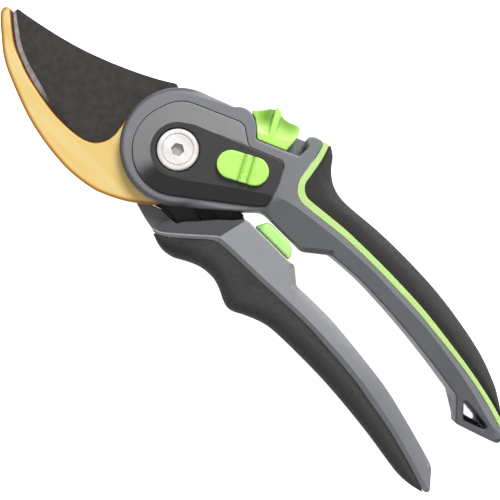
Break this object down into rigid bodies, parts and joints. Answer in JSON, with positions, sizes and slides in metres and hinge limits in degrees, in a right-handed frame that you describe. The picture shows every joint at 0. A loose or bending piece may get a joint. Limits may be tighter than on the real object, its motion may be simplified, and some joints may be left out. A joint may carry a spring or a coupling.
{
  "type": "bypass pruner",
  "caption": "Bypass pruner lying closed and locked on its back: fixed hook, sprung cutting blade, moulded handles with soft grips, thumb lock and opening switch.",
  "frame": {"origin": "on the pivot axis, in the plane that the pruner lies on: the centre of the pivot nut's flat rear face", "axes": "+Z along the pivot axis towards the front cover and the bolt head, +Y towards the blade tips, +X towards the thumb lock"},
  "size_m": [0.0679, 0.2225, 0.0236],
  "materials": {
    "grey_shell": "fine moulded texture",
    "soft_grip": "matte soft-touch",
    "green_band": "satin",
    "green_soft": "satin",
    "green_control": "satin",
    "dark_cover": "semi-gloss",
    "black_insert": "matte",
    "gold_hook": "satin gold coating on steel",
    "dark_blade": "dark low-friction coating on steel, ground bright along the edge",
    "bright_steel": "polished",
    "spring_steel": "drawn wire",
    "bronze": "turned",
    "slide_washer": "moulded"
  },
  "bodies": {
    "upper_handle": {"upper_shell_front": "grey_shell", "upper_shell_rear": "grey_shell", "upper_grip": "soft_grip", "accent_band": "green_band", "cover_front": "dark_cover", "cover_rear": "dark_cover", "hook_blade": "gold_hook", "hook_rivet_1": "bright_steel", "hook_rivet_2": "bright_steel", "pivot_bolt": "bright_steel", "pivot_nut": "bright_steel", "pivot_bush": "bronze", "front_washer": "bright_steel", "thrust_washer": "slide_washer", "rear_washer": "slide_washer", "torsion_spring": "spring_steel", "upper_screw_1": "bright_steel", "upper_screw_2": "bright_steel", "upper_screw_3": "bright_steel", "upper_screw_4": "bright_steel"},
    "lower_handle": {"cutting_blade": "dark_blade", "tang_rivet_1": "bright_steel", "tang_rivet_2": "bright_steel", "blade_carrier": "black_insert", "lower_shell_front": "grey_shell", "lower_shell_rear": "grey_shell", "lower_grip": "soft_grip", "bumper": "green_soft", "lower_screw_1": "bright_steel", "lower_screw_2": "bright_steel", "lower_screw_3": "bright_steel"},
    "lock": {"lock_slider": "green_control", "lock_latch": "bright_steel"},
    "opening_switch": {"width_switch": "green_control", "opening_stop": "black_insert"}
  },
  "joints": [
    {"name": "blade_hinge", "type": "hinge", "parent": "upper_handle", "child": "lower_handle", "pos_m": [0, 0, 0.0102], "axis": [0, 0, -1], "range_deg": [0, 30], "deforming": ["torsion_spring"]},
    {"name": "lock_slide", "type": "slide", "parent": "upper_handle", "child": "lock", "axis": [0.3771, -0.9262, 0], "range_m": [0, 0.0026]},
    {"name": "switch_slide", "type": "slide", "parent": "upper_handle", "child": "opening_switch", "axis": [-0.4691, 0.8832, 0], "range_m": [0, 0.0045]}
  ]
}
